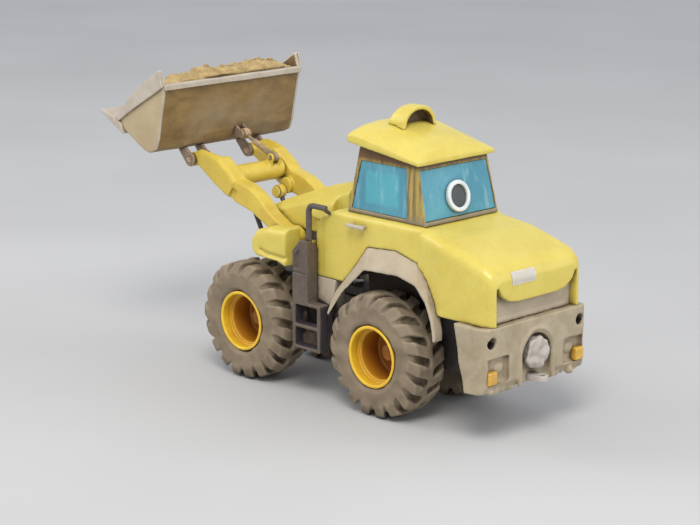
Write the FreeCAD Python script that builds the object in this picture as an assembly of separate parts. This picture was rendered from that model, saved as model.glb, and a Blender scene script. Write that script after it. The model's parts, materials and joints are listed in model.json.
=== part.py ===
import FreeCAD, Part
import math
import os

# Toy wheel loader with a raised bucket. Millimetres.
# Frame: +X forward, +Y to the driver's left, +Z up.
# Drawn from the ground under the middle of the rear axle, and moved along X at the
# very end, so that the origin lies on the ground under the middle of the whole toy.

V = FreeCAD.Vector

# ---- driving dimensions -------------------------------------------------
wheel_radius = 45.0
wheelbase = 138.0
tyre_outer_y = 54.0
tyre_inner_y = 20.0
rim_radius = 22.6
lug_count = 18
axle_radius = 2.5
running_gap = 0.05

chassis_half = 14.0
chassis_low = 36.0
chassis_high = 78.0
steer_x = 66.0
steer_pin_radius = 2.5

body_half = 43.0
hood_half = 48.0
rear_face_x = -108.0
sill_z = 142.0
cab_wall = 2.4

arm_pivot = (106.0, 110.0)
bucket_pivot = (211.0, 156.0)
arm_inner_y = 22.5
arm_outer_y = 36.0
cross_tube_at = (176.0, 146.0)
cross_tube_radius = 8.0
lift_base = (130.0, 62.0)
lift_head = (168.0, 130.0)
lift_y = 15.5
tilt_base = (170.0, 157.0)
tilt_head = (204.0, 171.0)
tilt_y = -12.0

bucket_half = 70.0
bucket_wall = 2.5
bucket_back_top = (202.0, 216.0)
bucket_tip = (206.0, 229.0)
bucket_edge_tip = (276.0, 192.0)


# ---- small building blocks ----------------------------------------------
def box(x0, x1, y0, y1, z0, z1):
    return Part.makeBox(x1 - x0, y1 - y0, z1 - z0, V(x0, y0, z0))


def slab_y(points, y0, y1):
    """Side outline of (x, z) points, pulled from y0 to y1."""
    corners = [V(x, y0, z) for x, z in points]
    face = Part.Face(Part.makePolygon(corners + corners[:1]))
    return face.extrude(V(0, y1 - y0, 0))


def slab_x(points, x0, x1):
    """Rear outline of (y, z) points, pulled from x0 to x1."""
    corners = [V(x0, y, z) for y, z in points]
    face = Part.Face(Part.makePolygon(corners + corners[:1]))
    return face.extrude(V(x1 - x0, 0, 0))


def slab_z(points, z0, z1):
    """Plan outline of (x, y) points, pulled from z0 to z1."""
    corners = [V(x, y, z0) for x, y in points]
    face = Part.Face(Part.makePolygon(corners + corners[:1]))
    return face.extrude(V(0, 0, z1 - z0))


def rod_y(x, z, radius, y0, y1):
    return Part.makeCylinder(radius, y1 - y0, V(x, y0, z), V(0, 1, 0))


def rod_x(y, z, radius, x0, x1):
    return Part.makeCylinder(radius, x1 - x0, V(x0, y, z), V(1, 0, 0))


def rod_z(x, y, radius, z0, z1):
    return Part.makeCylinder(radius, z1 - z0, V(x, y, z0), V(0, 0, 1))


def rod_between(start, end, radius, y):
    """Round bar in the side plane at y, between two (x, z) points."""
    way = V(end[0] - start[0], 0, end[1] - start[1])
    return Part.makeCylinder(radius, way.Length, V(start[0], y, start[1]), way)


def mirrored(shape):
    return shape.mirror(V(0, 0, 0), V(0, 1, 0))


def both_sides(shape):
    return Part.makeCompound([shape, mirrored(shape)])


def joined(shapes):
    whole = shapes[0].multiFuse(shapes[1:])
    return whole.removeSplitter()


def turned_ring(profile, x, z, start, sweep):
    """(y, radius) profile turned about the line through (x, z) along Y.
    Angles are in degrees, measured from +X towards +Z."""
    corners = [V(x + radius, y, z) for y, radius in profile]
    face = Part.Face(Part.makePolygon(corners + corners[:1]))
    face.rotate(V(x, 0, z), V(0, -1, 0), start)
    return face.revolve(V(x, 0, z), V(0, -1, 0), sweep)


def rounded(shape, radius, chosen):
    """Round the edges that chosen(edge) picks."""
    return shape.makeFillet(radius, [edge for edge in shape.Edges if chosen(edge)])


def runs_along(edge, axis):
    ends = [vertex.Point for vertex in edge.Vertexes]
    if len(ends) < 2:
        return False
    way = ends[1].sub(ends[0])
    return way.Length > 1e-6 and abs(way.normalize().dot(axis)) > 0.999


ALONG_X = V(1, 0, 0)
ALONG_Y = V(0, 1, 0)
ALONG_Z = V(0, 0, 1)


# ---- wheels --------------------------------------------------------------
hub_outer_y = 31.0
hub_inner_y = 21.0
hub_radius = 7.0
web_y = (24.0, 27.0)
lug_base_radius = 39.6


def tyre_envelope():
    """The full tyre with the lugs' outer shape, at the rear axle."""
    shoulder = 4.0
    return turned_ring(
        [(tyre_inner_y, lug_base_radius - 3), (tyre_inner_y + shoulder, wheel_radius - 0.8),
         (tyre_inner_y + 2.5 * shoulder, wheel_radius), (tyre_outer_y - 2.5 * shoulder, wheel_radius),
         (tyre_outer_y - shoulder, wheel_radius - 0.8), (tyre_outer_y, lug_base_radius - 3),
         (tyre_outer_y, 30), (tyre_inner_y, 30)],
        0, wheel_radius, 0, 360)


def lug(side, angle):
    """One skewed tread bar, from the middle of the tread to a shoulder."""
    middle = (tyre_inner_y + tyre_outer_y) / 2
    reach = (tyre_outer_y - tyre_inner_y) / 2 + 1
    half = 4.2
    skew = 9.0
    points = [(-half, middle - 1.5 * side), (half, middle - 1.5 * side),
              (half + skew, middle + reach * side), (skew - half - 1.2, middle + reach * side)]
    bar = slab_z(points, wheel_radius + 34, 2 * wheel_radius + 1)
    bar.rotate(V(0, 0, wheel_radius), V(0, 1, 0), angle)
    return bar


def make_tyre():
    """Tyre of the left rear wheel."""
    bead = rim_radius
    carcass = turned_ring(
        [(tyre_inner_y + 2, bead), (tyre_inner_y, bead + 3), (tyre_inner_y, 35),
         (tyre_inner_y + 5, lug_base_radius), (tyre_outer_y - 5, lug_base_radius),
         (tyre_outer_y, 35), (tyre_outer_y, bead + 3), (tyre_outer_y - 2, bead)],
        0, wheel_radius, 0, 360)
    pitch = 360.0 / lug_count
    bars = [lug(1, step * pitch) for step in range(lug_count)]
    bars += [lug(-1, (step + 0.5) * pitch) for step in range(lug_count)]
    envelope = tyre_envelope()
    return joined([carcass] + [bar.common(envelope) for bar in bars])


def make_rim():
    """Deep dish rim of the left rear wheel, with a step inside and its hub."""
    wall = 2.4
    bore = rim_radius - wall
    step_y = 45.0
    barrel = rod_y(0, wheel_radius, rim_radius, tyre_inner_y + 2, tyre_outer_y - 1)
    barrel = barrel.cut(rod_y(0, wheel_radius, bore, step_y, tyre_outer_y))
    barrel = barrel.cut(rod_y(0, wheel_radius, bore - wall, tyre_inner_y, step_y))
    web = rod_y(0, wheel_radius, rim_radius - wall / 2, web_y[0], web_y[1])
    hub = rod_y(0, wheel_radius, hub_radius, hub_inner_y, hub_outer_y)
    rim = joined([barrel, web, hub])
    return rim.cut(rod_y(0, wheel_radius, axle_radius + running_gap, 0, tyre_outer_y))


def make_axle(x):
    return rod_y(x, wheel_radius, axle_radius, -hub_outer_y - 3, hub_outer_y + 3)


def make_axle_caps(x):
    cap = rod_y(x, wheel_radius, hub_radius - 1.5, hub_outer_y + 0.5, hub_outer_y + 5)
    return both_sides(cap.cut(make_axle(x)))


def axle_boss(x):
    boss_end = hub_inner_y - 0.5
    return rod_y(x, wheel_radius, 6.0, -boss_end, boss_end)


# ---- rear frame ----------------------------------------------------------
screw_places = [(-80.0, 8.0), (-80.0, -8.0), (34.0, 8.0), (34.0, -8.0)]
steer_ear_radius = 10.0
steer_ear = 6.0


def screw_bodies():
    screws = []
    for x, y in screw_places:
        head = rod_z(x, y, 2.6, chassis_low, chassis_low + 1.6)
        shank = rod_z(x, y, 1.25, chassis_low + 1.6, chassis_low + 14)
        screws.append(head.fuse(shank))
    return screws


def make_screws():
    sockets = [rod_z(x, y, 1.1, chassis_low, chassis_low + 0.9) for x, y in screw_places]
    return Part.makeCompound([screw.cut(socket) for screw, socket in zip(screw_bodies(), sockets)])


def steer_ears():
    """Two round-ended plates that hold the steering pin."""
    ears = []
    for low in (chassis_low, chassis_high - steer_ear):
        plate = box(40, steer_x, -steer_ear_radius, steer_ear_radius, low, low + steer_ear)
        nose = rod_z(steer_x, 0, steer_ear_radius, low, low + steer_ear)
        ears.append(plate.fuse(nose))
    return ears


def make_rear_chassis():
    beam = box(-86, 48, -chassis_half, chassis_half, chassis_low, chassis_high)
    frame = joined([beam, axle_boss(0)] + steer_ears())
    frame = frame.cut(make_axle(0))
    for screw in screw_bodies():
        frame = frame.cut(screw)
    return frame.cut(rod_z(steer_x, 0, steer_pin_radius, 0, 100))


def make_steer_pin():
    shank = rod_z(steer_x, 0, steer_pin_radius, chassis_low, chassis_high)
    head = rod_z(steer_x, 0, 4.5, chassis_high, chassis_high + 2)
    return shank.fuse(head)


weight_half = 52.5
weight_low = 39.5
weight_high = 85.0
disc_z = 60.0
disc_radius = 11.0
pocket_half = 15.0
lamp_y = (41.0, 49.5)
lamp_z = (46.0, 55.0)


def make_counterweight():
    side = [(rear_face_x, 46), (rear_face_x, weight_high), (-78, weight_high), (-88, weight_low - 2),
            (-104, weight_low)]
    block = slab_y(side, -weight_half, weight_half)
    block = rounded(block, 5, lambda edge: runs_along(edge, ALONG_Z))
    pocket = joined([rod_x(0, disc_z - 1, pocket_half, -120, rear_face_x + 5),
                     box(-120, rear_face_x + 5, -pocket_half, pocket_half, 30, disc_z - 1)])
    block = block.cut(pocket)
    recess = box(-120, rear_face_x + 4, 28, 49.5, 46, 64)
    eye = rod_x(45.5, 75, 4.2, -120, rear_face_x + 9)
    for tool in (recess, eye):
        block = block.cut(tool).cut(mirrored(tool))
    block = block.cut(box(-90, 0, -chassis_half, chassis_half, 0, chassis_high))
    return block.cut(make_tow_hitch())


def make_counterweight_disc():
    disc = rod_x(0, disc_z, disc_radius, rear_face_x - 1.5, rear_face_x + 5)
    return rounded(disc, 1.2, lambda edge: edge.BoundBox.XMax < rear_face_x - 1)


hitch_hole_radius = 2.2
hitch_hole_x = -112.5
hitch_half = 4.6
hitch_z = (41.0, 45.0)


def make_tow_hitch():
    """Flat tongue with an upright hole for a trailer's pin."""
    tongue = box(hitch_hole_x, -98, -hitch_half, hitch_half, hitch_z[0], hitch_z[1])
    nose = rod_z(hitch_hole_x, 0, hitch_half, hitch_z[0], hitch_z[1])
    tongue = tongue.fuse(nose).removeSplitter()
    return tongue.cut(rod_z(hitch_hole_x, 0, hitch_hole_radius, 0, 100))


def make_rear_lamps():
    lens = box(rear_face_x - 1, rear_face_x + 4, lamp_y[0], lamp_y[1], lamp_z[0], lamp_z[1])
    lens = rounded(lens, 1.0, lambda edge: edge.BoundBox.XMax < rear_face_x)
    return both_sides(lens)


flare_root = [(47, 82), (25, 106), (14, 120.5), (-14, 122.5), (-34, 117), (-46, 106), (-55, 92), (-60, 74)]
flare_lip = [(46, 68), (31, 88), (9, 107.5), (-26, 109), (-43, 105), (-53, 94), (-58, 82), (-60, 72)]
flare_lip_y = 52.0
flare_thick = 3.0
well_middle = (-8.0, 58.0)
well_reach = 60.0


def closed_below(points):
    """An arch outline closed with a straight bottom well under the mudguard."""
    return points + [(points[-1][0], 40), (points[0][0], 40)]


def shrunk(points, thick):
    """The outline drawn in towards the middle of the wheel well by about thick."""
    share = 1 - thick / well_reach
    middle_x, middle_z = well_middle
    return [(middle_x + share * (x - middle_x), middle_z + share * (z - middle_z)) for x, z in points]


def wheel_well(y0, y1):
    return slab_y(closed_below(flare_root), y0, y1)


hood_front_x = -36.0
hood_rounding = 7.0
hood_stations = [(rear_face_x, hood_half - 5.5, 116), (-105.5, hood_half - 2, 121.5), (-99, hood_half, 126),
                 (-84, hood_half, 131), (-62, hood_half, 137), (hood_front_x, body_half, sill_z)]
hood_wall = 3.0
panel_recess = 6.0


def hood_inside():
    half = body_half - hood_wall
    front = hood_front_x - hood_wall
    return slab_y([(rear_face_x + panel_recess, 60), (rear_face_x + panel_recess, 113), (-98, 121),
                   (-84, 127), (-62, 133), (front, 137), (front, 60)], -half, half)


def hood_mouth():
    """Opening in the rear face, under the flap that hangs down in the middle."""
    flap = [(41.5, 119), (40, 112), (36, 105.5), (29, 101), (20, 99.5)]
    outline = [(41.5, 80)] + flap + [(-y, z) for y, z in reversed(flap)] + [(-41.5, 80)]
    return slab_x(outline, -120, rear_face_x + panel_recess)


def hood_section(x, half, top):
    """Cross outline of the bonnet at x, with rounded upper corners."""
    left = [(half, weight_high)]
    for degrees in (0, 30, 60, 90):
        angle = math.radians(degrees)
        left.append((half - hood_rounding * (1 - math.cos(angle)),
                     top - hood_rounding * (1 - math.sin(angle))))
    ring = [V(x, y, z) for y, z in left] + [V(x, -y, z) for y, z in reversed(left)]
    return Part.makePolygon(ring + ring[:1])


def make_hood():
    """Rear bonnet, tapered towards the cab, with the flap as part of its rear wall."""
    shell = Part.makeLoft([hood_section(*station) for station in hood_stations], True, True)
    shell = shell.cut(hood_inside()).cut(hood_mouth())
    shell = shell.cut(wheel_well(-60, 60))
    return shell.cut(make_rear_panel())


def make_rear_panel():
    """Plain sunk panel behind the flap, between the two rear columns of the bonnet."""
    x = rear_face_x + panel_recess
    panel = box(x, x + 2, -41.5, 41.5, weight_high, 113)
    return panel.cut(box(x - 1, x + 0.8, -36, 36, weight_high + 3, 120))


# ---- cab body, fenders and steps ------------------------------------------
door_front_x = 58.0
post_front_x = 66.0
post_y = (35.0, body_half - 0.5)
recess_half = 27.0
ladder_x = (51.0, 80.0)


def door_grooves():
    """Shallow lines around the left door: its lower edge and its rear edge."""
    deep = body_half - 0.9
    lower = box(30, door_front_x + 1, deep, body_half + 1, 101.5, 102.6)
    rear = box(-25, -23.9, deep, body_half + 1, 123, sill_z - 6)
    return [lower, rear]


def make_cab_body():
    """Lower cab with its doors, and the corner posts that carry the steps."""
    side = [(hood_front_x, sill_z), (48, sill_z), (door_front_x, 138), (door_front_x, 91), (hood_front_x, 91)]
    block = slab_y(side, -body_half, body_half)
    block = rounded(block, 4.5, lambda edge: abs(edge.CenterOfMass.y) > body_half - 1
                    and edge.CenterOfMass.z > 138 and edge.CenterOfMass.x > hood_front_x + 1)
    inside = slab_y([(-33, 137), (44, 137), (44, 80), (-33, 80)], -body_half + 4, body_half - 4)
    block = block.cut(inside)
    block = block.cut(box(48, 70, -recess_half, recess_half, 80, 150))
    for groove in door_grooves():
        block = block.cut(groove).cut(mirrored(groove))
    block = block.cut(wheel_well(-60, 60))
    floor_beam = box(-30, 42, -chassis_half, chassis_half, chassis_high, 139)
    walls = box(-30, 42, -chassis_half + 3, chassis_half - 3, chassis_high + 3, 136)
    post = slab_y([(48, 91), (post_front_x, 91), (post_front_x, 130), (door_front_x + 1, 137), (48, 137)],
                  post_y[0], post_y[1])
    return joined([block, floor_beam.cut(walls), post, mirrored(post)])


def make_side_skirts():
    """Panels under the doors, between the wheel arches and the steps."""
    panel = slab_y([(46, 91), (post_front_x, 91), (post_front_x, 74), (50, 70)], 30, post_y[1])
    return both_sides(panel)


def flare_solid(thick):
    """Solid under the sloping band of the left mudguard, drawn in by thick."""
    wires = []
    for points, y in ((flare_root, body_half), (flare_lip, flare_lip_y)):
        corners = [V(x, y, z) for x, z in shrunk(closed_below(points), thick)]
        wires.append(Part.makePolygon(corners + corners[:1]))
    return Part.makeLoft(wires, True, True)


def make_rear_fender():
    """Left mudguard: a sloping outer band and a liner over the tyre."""
    band = flare_solid(0).cut(flare_solid(flare_thick))
    band = band.common(box(-80, 80, body_half, flare_lip_y, 67, 130))
    liner = slab_y(closed_below(flare_root), chassis_half, body_half)
    liner = liner.cut(slab_y(shrunk(closed_below(flare_root), flare_thick), 0, body_half + 1))
    liner = liner.common(box(-80, 80, chassis_half, body_half, 95, 130))
    return joined([band, liner])


def make_door_handles():
    bar = box(13, 30, 46.5, 48.8, 133.5, 136.5)
    bar = rounded(bar, 1.0, lambda edge: runs_along(edge, ALONG_X))
    feet = [box(x, x + 3, body_half, 47, 133.9, 136.1) for x in (14.5, 25.5)]
    return both_sides(joined([bar] + feet))


ladder_y = (post_y[1], 54.0)
ladder_low = 37.0
ladder_box_low = 70.0


def make_ladder():
    """Left boarding steps: a narrow closed locker above a wider open frame with treads."""
    back, front = ladder_x
    inner, outer = ladder_y
    locker_back = 64.0
    waist_z = 93.0
    locker = box(locker_back, front, inner, outer, ladder_box_low, 118)
    slopes = [slab_x([(inner - 1, 111), (outer - 5, 118), (outer - 5, 120), (inner - 1, 120)], 50, 90),
              slab_y([(front + 1, 108), (72, 118), (72, 120), (front + 1, 120)], 40, 60)]
    recess = slab_y([(locker_back + 8, waist_z + 3), (front - 2.5, waist_z + 3), (front - 2.5, 106),
                     (locker_back + 8, 112)], outer - 1.4, outer + 1)
    waist = box(back, front + 1, outer - 0.9, outer + 1, waist_z, waist_z + 1.2)
    for tool in slopes + [recess, waist]:
        locker = locker.cut(tool)
    rails = [slab_y([(x, ladder_box_low + 2), (x + 3, ladder_box_low + 2), (x + 3, ladder_low),
                     (x, ladder_low)], inner + 3, outer) for x in (back, front - 3)]
    treads = [box(back, front, inner + 2, outer, z, z + 2.5) for z in (ladder_low, 53, ladder_box_low)]
    return joined([locker] + rails + treads)


rail_radius = 2.2


def handrail_path(y):
    bend = 5.0
    top = 144.0
    front = 67.0
    start = V(front, y, 115)
    corner = V(front, y, top - bend)
    middle = V(front - bend * (1 - math.sqrt(0.5)), y, top - bend * (1 - math.sqrt(0.5)))
    after = V(front - bend, y, top)
    end = V(49, y, top)
    return Part.Wire([Part.makeLine(start, corner), Part.Arc(corner, middle, after).toShape(),
                      Part.makeLine(after, end)])


def make_handrail(y):
    path = handrail_path(y)
    start = V(67, y, 115)
    ring = Part.Wire([Part.makeCircle(rail_radius, start, V(0, 0, 1))])
    pipe = path.makePipeShell([ring], True, False)
    to_body = V(0, body_half - y, -4)
    brace = Part.makeCylinder(1.5, to_body.Length, V(51, y, 143), to_body)
    cheek = box(-40, 80, -body_half, body_half, 0, sill_z)
    return pipe.fuse(brace.cut(cheek)).removeSplitter()


def make_handrails():
    return both_sides(make_handrail(49.0).cut(make_ladder()))


# ---- cab -------------------------------------------------------------------
cab_top_z = 195.0
cab_base = (-37.5, 39.0, 37.5)
cab_head = (-25.3, 28.3, 34.5)
window_low = 145.0
window_high = 180.0


def frustum(end_inset, side_inset):
    """The cab's outer shape, moved in by the two insets."""
    wires = []
    for (back, front, half), z in ((cab_base, sill_z), (cab_head, cab_top_z)):
        side = half - side_inset
        ring = [V(back + end_inset, -side, z), V(front - end_inset, -side, z),
                V(front - end_inset, side, z), V(back + end_inset, side, z)]
        wires.append(Part.makePolygon(ring + ring[:1]))
    return Part.makeLoft(wires, True, True)


def side_opening():
    return slab_y([(-17, window_high), (28, window_high), (35.6, window_low), (-19, window_low)], -60, 60)


def end_opening():
    """Openings through the rear and the front wall, with slim posts at the corners."""
    walls = frustum(-1, -1).cut(frustum(cab_wall, -2))
    outline = [(-33.9, window_high), (33.9, window_high), (36.2, window_low), (-36.2, window_low)]
    return walls.common(slab_x(outline, -60, 60))


def front_half():
    return box(0, 60, -60, 60, 140, 190)


def left_half():
    return box(-60, 60, 0, 60, 140, 190)


def make_cab_frame():
    """Window frame; its header rises to the sloping underside of the roof."""
    shell = frustum(0, 0).cut(frustum(cab_wall, cab_wall)).cut(side_opening()).cut(end_opening())
    header = frustum(0, 0).common(box(-60, 60, -60, 60, window_high, cab_top_z))
    below_roof = slab_y([(-60, sill_z), (60, sill_z), (60, roof_underside(60)), (-60, roof_underside(-60))],
                        -60, 60)
    return joined([shell, header]).common(below_roof)


def glazing(opening, half, wanted):
    back = cab_wall - 0.2
    pane = frustum(0.8, 0.8).cut(frustum(back, back)).common(opening)
    return pane.common(half) if wanted else pane.cut(half)


def make_side_windows():
    return Part.makeCompound([glazing(side_opening(), left_half(), wanted) for wanted in (True, False)])


porthole_at = (1.5, 158.5)


def make_porthole(radius_out, radius_in, out, depth):
    """Round trim on the rear window, square to the glass."""
    lean = (cab_head[0] - cab_base[0]) / (cab_top_z - sill_z)
    y, z = porthole_at
    x = cab_base[0] + lean * (z - sill_z) + 0.8
    normal = V(-1, 0, lean).normalize()
    foot = V(x, y, z) - normal * depth
    ring = Part.makeCylinder(radius_out, out + depth, foot, normal)
    if radius_in > 0:
        ring = ring.cut(Part.makeCylinder(radius_in, out + depth, foot, normal))
    return ring


porthole_inner = 8.2


def make_porthole_ring():
    return make_porthole(11.2, porthole_inner, 3.2, 0)


def make_porthole_disc():
    return make_porthole(porthole_inner, 0, 1.4, 0)


roof_half = 40.0
roof_rear = (-31.5, 183.5)
roof_front = (38.0, 192.5)
scoop_half = 17.0


def roof_underside(x):
    """Height of the roof's underside, which rises towards the front."""
    share = (x - roof_rear[0]) / (roof_front[0] - roof_rear[0])
    return roof_rear[1] + share * (roof_front[1] - roof_rear[1])


def make_roof():
    """Slab that is thin at the rear edge and crowned across its width."""
    wires = []
    for x, edge, crown in ((roof_rear[0], 3.5, 4), (-24, 4, 8.5), (-12, 4.5, 12), (12, 6, 15.5),
                           (32, 7, 14), (roof_front[0], 5, 10.5)):
        low = roof_underside(x)
        half = [(roof_half, low), (roof_half, low + edge), (roof_half - 5, low + 0.6 * edge + 0.4 * crown),
                (26, low + 0.2 * edge + 0.8 * crown), (12, low + crown)]
        ring = [V(x, y, z) for y, z in half] + [V(x, -y, z) for y, z in reversed(half)]
        wires.append(Part.makePolygon(ring + ring[:1]))
    return Part.makeLoft(wires, True, True)


def hoop(half, height, x0, x1):
    """Flattened arch that stands in the roof."""
    foot_z, spring_z = 199.0, 202.0
    steps = 12
    arc = []
    for step in range(steps + 1):
        angle = math.pi * step / steps
        arc.append((half * math.cos(angle), spring_z + height * math.sin(angle) ** 0.8))
    return slab_x([(half, foot_z)] + arc + [(-half, foot_z)], x0, x1)


def make_roof_cowl():
    """Air scoop on the roof: a wide hoop with its mouth to the rear."""
    hull = hoop(scoop_half, 16, 4, 20)
    slope = slab_y([(13, 224), (24, 224), (24, 200), (20, 206)], -20, 20)
    mouth = hoop(scoop_half - 3.4, 12.6, 0, 12)
    return hull.cut(slope).cut(mouth).cut(make_roof())


# ---- front frame -------------------------------------------------------------
front_half_width = 11.5
tower_half = 20.0
tongue_gap = 2.0


def make_front_chassis():
    tongue_low = chassis_low + steer_ear + tongue_gap
    tongue_high = chassis_high - steer_ear - tongue_gap
    tongue = box(steer_x, 90, -9, 9, tongue_low, tongue_high)
    nose = rod_z(steer_x, 0, 9, tongue_low, tongue_high)
    beam = box(82, 160, -front_half_width, front_half_width, chassis_low + 2, chassis_high)
    neck = box(88, 126, -front_half_width, front_half_width, chassis_high, 96)
    tower = slab_y([(84, 94), (126, 94), (120, 116), (84, 116)], -tower_half, tower_half)
    frame = joined([tongue, nose, beam, neck, tower, axle_boss(wheelbase)])
    frame = frame.cut(make_axle(wheelbase))
    frame = frame.cut(make_lift_base_pin())
    frame = frame.cut(make_arm_pins())
    return frame.cut(rod_z(steer_x, 0, steer_pin_radius + running_gap, 0, 100))


arm_pin_radius = 3.0


def make_arm_pins():
    pin = rod_y(arm_pivot[0], arm_pivot[1], arm_pin_radius, 8, arm_outer_y + 1)
    return both_sides(pin)


def make_lift_base_pin():
    return rod_y(lift_base[0], lift_base[1], 2.0, -19.3, 19.3)


cowl_rear_x = 64.0
cowl_shoulder_half = 28.5


def make_cowl():
    """Nose cover between the lift arms, with wider shoulders and side panels behind them."""
    half = arm_inner_y - 1
    outline = [(54, 118), (54, 157), (72, 154), (100, 145), (129, 134), (146, 126), (152, 117), (122, 116),
               (84, 116)]
    nose = Part.makeCylinder(60, 80, V(92, 0, 100), V(0, 0, 1)).fuse(box(50, 100, -half, half, 100, 180))
    spine = slab_y(outline, -half, half).common(nose)
    shoulder = slab_y([(cowl_rear_x, 126), (cowl_rear_x, 155), (72, 154), (92, 147.5), (96, 140), (93, 130)],
                      -cowl_shoulder_half, cowl_shoulder_half)
    panels = both_sides(box(cowl_rear_x, 84, half - 2, cowl_shoulder_half - 3, 94, 130))
    block = joined([spine, shoulder] + panels.Solids)
    slope_degrees = 17.0
    bevel = slab_x([(40, 130), (40, 180), (6, 180), (12, 158), (cowl_shoulder_half - 1, 146)], 30, 190)
    bevel.rotate(V(54, 0, 157), V(0, 1, 0), slope_degrees)
    hollow = slab_y([(57, 110), (57, 143), (72, 141), (100, 132), (122, 124), (126, 110)], -half + 6, half - 6)
    return block.cut(bevel).cut(mirrored(bevel)).cut(hollow.cut(make_front_chassis()))


fender_y = (38.0, 53.0)


def make_front_fender():
    """Left front mudguard with the arm that carries it."""
    rear = 87.0
    rear_lean = 2.0
    outline = [(rear, 94), (97, 97.5), (120, 98.3), (127.5, 103), (128, 110), (122, 117.5), (109, 121.5),
               (rear, 123)]
    rounding = 6.0
    block = slab_y(outline, fender_y[0], fender_y[1])
    corner = slab_z([(rear - 1, fender_y[0]), (rear, fender_y[0]), (rear + rear_lean, fender_y[1]),
                     (rear + rear_lean, fender_y[1] + 1), (rear - 1, fender_y[1] + 1)], 80, 130)
    block = rounded(block, rounding, lambda edge: edge.CenterOfMass.y > fender_y[1] - 0.1
                    and edge.CenterOfMass.z > 105 and edge.CenterOfMass.x > rear + 1)
    tuck = slab_y([(rear - 1, 102), (110, 103), (119, 106), (117, 103), (110, 100.5), (rear - 1, 99.5)],
                  fender_y[1] - 2.5, fender_y[1] + 1)
    carrier = box(88, 96, tower_half, fender_y[0] + 2, 99, 110)
    return joined([block.cut(corner).cut(tuck), carrier])


# ---- lift arms -----------------------------------------------------------------
lift_pin_radius = 2.0
bucket_pin_radius = 2.5


def arm_outline():
    lower = [(98, 112), (104, 102), (114, 107), (129, 116), (146, 124.5), (163, 129), (176, 133.5), (188, 140)]
    tip = [(206, 151.5), (211, 161.5), (202, 165)]
    upper = [(192, 163), (182, 160.5), (175, 156), (168, 151), (163, 146), (148, 142.5), (138, 137),
             (127, 127.5), (112, 119), (102, 118)]
    return lower + tip + upper


lift_boss = (165.5, 134.5)
lift_pin_head_y = (10.8, 12.3)


def make_arm():
    """Left lift arm, with the headed stub that carries the lift rod."""
    plate = slab_y(arm_outline(), arm_inner_y, arm_outer_y)
    plate = plate.makeChamfer(2.4, [edge for edge in plate.Edges if edge.CenterOfMass.y > arm_outer_y - 0.1])
    root = rod_y(arm_pivot[0], arm_pivot[1], 9, arm_inner_y, arm_outer_y - 1.5)
    tip = rod_y(bucket_pivot[0], bucket_pivot[1], 5.5, arm_inner_y, arm_outer_y - 1)
    knuckle = slab_y([(90, 95), (172, 128), (160, 152), (90, 150)], arm_outer_y - 1.5, arm_outer_y + 1)
    groove = slab_y([(168, 127), (173, 128), (166, 140), (161, 138)], arm_outer_y - 3.2, arm_outer_y + 1)
    slope = slab_x([(21, 155), (33, 164), (33, 175), (21, 175)], 184, 220)
    boss = rod_y(lift_boss[0], lift_boss[1], 6.5, arm_inner_y - 3.8, arm_inner_y)
    pin = rod_y(lift_head[0], lift_head[1], lift_pin_radius, lift_pin_head_y[0], arm_inner_y)
    head = rod_y(lift_head[0], lift_head[1], 4.8, lift_pin_head_y[0], lift_pin_head_y[1])
    arm = joined([plate.cut(knuckle).cut(groove).cut(slope), root, tip, boss, pin, head])
    arm = arm.cut(rod_y(arm_pivot[0], arm_pivot[1], arm_pin_radius + running_gap, 0, 60))
    return arm.cut(rod_y(bucket_pivot[0], bucket_pivot[1], bucket_pin_radius + running_gap, 0, 60))


tilt_ear = 2.0
tilt_gap = 5.0
tilt_pin_radius = 1.5


def tilt_ears(at, radius, foot):
    """Pair of plates beside the tilt cylinder, from the round end at `at` to a foot."""
    ears = []
    for y in (tilt_y - tilt_gap / 2 - tilt_ear, tilt_y + tilt_gap / 2):
        disc = rod_y(at[0], at[1], radius, y, y + tilt_ear)
        ears.append(disc.fuse(slab_y(foot, y, y + tilt_ear)))
    return ears


def make_cross_tube():
    tube = rod_y(cross_tube_at[0], cross_tube_at[1], cross_tube_radius, -arm_inner_y, arm_inner_y)
    x, z = tilt_base
    foot = [(x - 3.2, z), (x + 3.2, z), (cross_tube_at[0] + 4, cross_tube_at[1]),
            (cross_tube_at[0] - 6, cross_tube_at[1])]
    whole = joined([tube] + tilt_ears(tilt_base, 3.2, foot))
    hole = rod_y(x, z, tilt_pin_radius + running_gap, tilt_y - 10, tilt_y + 10)
    swing = rod_y(x, z, 3.9, tilt_y - tilt_gap / 2, tilt_y + tilt_gap / 2)
    return whole.cut(hole).cut(swing)


# ---- cylinders: a barrel turns on its base pin, and a rod slides in it ----------
def along(start, end, distance):
    length = math.hypot(end[0] - start[0], end[1] - start[1])
    share = distance / length
    return (start[0] + share * (end[0] - start[0]), start[1] + share * (end[1] - start[1]))


lift_barrel_radius = 3.0
lift_rod_radius = 1.8
lift_barrel_end = 43.0
lift_bore_start = 5.0
lift_eye_radius = 5.2
lift_open_hole = 3.7
lift_rod_length = 43.5


def make_lift_barrel(y):
    eye = rod_y(lift_base[0], lift_base[1], 4.4, y - lift_barrel_radius - 0.3, y + lift_barrel_radius + 0.3)
    tube = rod_between(lift_base, along(lift_base, lift_head, lift_barrel_end), lift_barrel_radius, y)
    barrel = joined([eye, tube])
    bore = rod_between(along(lift_base, lift_head, lift_bore_start), along(lift_base, lift_head, 60),
                       lift_rod_radius + running_gap, y)
    pin_hole = rod_y(lift_base[0], lift_base[1], lift_pin_radius + running_gap, y - 9, y + 9)
    return barrel.cut(bore).cut(pin_hole)


def make_lift_rod(y):
    length = math.dist(lift_base, lift_head)
    rod = rod_between(along(lift_base, lift_head, length - lift_rod_length), lift_head, lift_rod_radius, y)
    eye = rod_y(lift_head[0], lift_head[1], lift_eye_radius, y - 2.6, y + 2.6)
    hole = rod_y(lift_head[0], lift_head[1], lift_open_hole, y - 9, y + 9)
    return joined([rod, eye]).cut(hole)


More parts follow.
